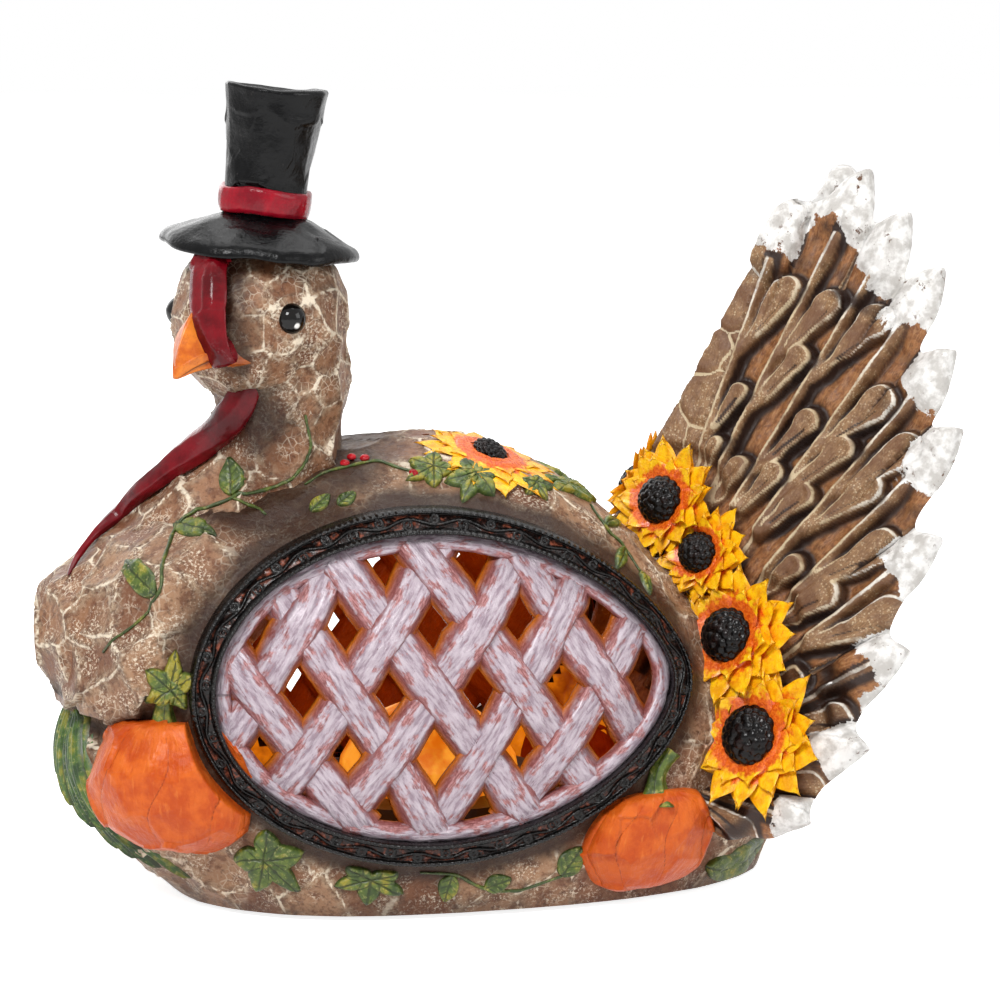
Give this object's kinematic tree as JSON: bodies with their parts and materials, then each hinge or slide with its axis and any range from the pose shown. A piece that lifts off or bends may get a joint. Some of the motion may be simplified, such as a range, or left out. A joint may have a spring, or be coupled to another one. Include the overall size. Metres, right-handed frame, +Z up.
{
  "type": "turkey lantern figure",
  "caption": "Free-standing hollow turkey figure in a top hat with openwork side windows, sunflowers, pumpkins, a raised feather tail and a pull-out battery light in its base.",
  "frame": {"origin": "middle of the footprint box, on the floor under the foot pads", "axes": "+X towards the tail, -X towards the breast, +Z up, the head is turned to the -Y side"},
  "size_m": [0.2434, 0.1398, 0.2147],
  "materials": {
    "resin_brown": "hand-painted cast resin, carved facets with pale crackle lines",
    "feather_brown": "hand-painted cast resin feathers with white tips",
    "rim_black": "black paint rubbed with copper brown",
    "trellis_mauve": "pearly mauve paint on wood-grain planks",
    "hat_black": "glossy black paint",
    "gloss_red": "glossy dark red paint",
    "beak_orange": "satin orange paint",
    "eye_black": "glossy black bead",
    "petal_yellow": "glossy yellow paint with orange bases",
    "seed_brown": "glossy dark brown paint",
    "pumpkin_orange": "satin orange paint",
    "leaf_green": "green paint with yellow edges",
    "housing_black": "moulded black plastic",
    "base_brown": "plain brown resin",
    "rubber_grey": "dark rubber",
    "board_green": "green circuit board",
    "led_warm": "clear warm lamp",
    "diffuser_amber": "translucent amber dome",
    "cell_grey": "plain metal-cased cell",
    "contact_steel": "plated spring steel",
    "lead_red": "insulated lead",
    "lead_black": "insulated lead",
    "switch_white": "moulded off-white plastic"
  },
  "bodies": {
    "figure": {"body_shell": "resin_brown", "base_plate": "base_brown", "foot_pad_1": "rubber_grey", "foot_pad_2": "rubber_grey", "foot_pad_3": "rubber_grey", "foot_pad_4": "rubber_grey", "window_rim_near": "rim_black", "window_rim_far": "rim_black", "window_trellis_near": "trellis_mauve", "window_trellis_far": "trellis_mauve", "neck_head": "resin_brown", "beak": "beak_orange", "snood": "gloss_red", "wattle": "gloss_red", "eye_near": "eye_black", "eye_far": "eye_black", "hat": "hat_black", "hat_band": "gloss_red", "tail_fan": "feather_brown", "sunflower_1_petals_near": "petal_yellow", "sunflower_1_petals_far": "petal_yellow", "sunflower_1_seeds_near": "seed_brown", "sunflower_1_seeds_far": "seed_brown", "sunflower_2_petals_near": "petal_yellow", "sunflower_2_petals_far": "petal_yellow", "sunflower_2_seeds_near": "seed_brown", "sunflower_2_seeds_far": "seed_brown", "sunflower_3_petals_near": "petal_yellow", "sunflower_3_petals_far": "petal_yellow", "sunflower_3_seeds_near": "seed_brown", "sunflower_3_seeds_far": "seed_brown", "sunflower_4_petals_near": "petal_yellow", "sunflower_4_petals_far": "petal_yellow", "sunflower_4_seeds_near": "seed_brown", "sunflower_4_seeds_far": "seed_brown", "back_flower": "petal_yellow", "front_pumpkin_near": "pumpkin_orange", "front_pumpkin_far": "pumpkin_orange", "front_pumpkin_stem_near": "leaf_green", "front_pumpkin_stem_far": "leaf_green", "rear_pumpkin_near": "pumpkin_orange", "rear_pumpkin_far": "pumpkin_orange", "rear_pumpkin_stem_near": "leaf_green", "rear_pumpkin_stem_far": "leaf_green", "breast_leaf_spray": "leaf_green"},
    "light_unit": {"light_housing": "housing_black", "grip_ring": "rubber_grey", "led_board": "board_green", "led": "led_warm", "diffuser": "diffuser_amber", "cell_near": "cell_grey", "cell_far": "cell_grey", "contact_bridge": "contact_steel", "contact_plus": "contact_steel", "contact_minus": "contact_steel", "lead_red": "lead_red", "lead_black": "lead_black"},
    "battery_door": {"battery_door": "housing_black"},
    "switch_slider": {"switch_slider": "switch_white"}
  },
  "joints": [
    {"name": "light_pull", "type": "slide", "parent": "figure", "child": "light_unit", "axis": [0, 0, -1], "range_m": [0, 0.055]},
    {"name": "door_hinge", "type": "hinge", "parent": "light_unit", "child": "battery_door", "pos_m": [-0.04608, 0, 0.0028], "axis": [0, 1, 0], "range_deg": [0, 95]},
    {"name": "switch_slide", "type": "slide", "parent": "light_unit", "child": "switch_slider", "axis": [1, 0, 0], "range_m": [0, 0.003]}
  ]
}
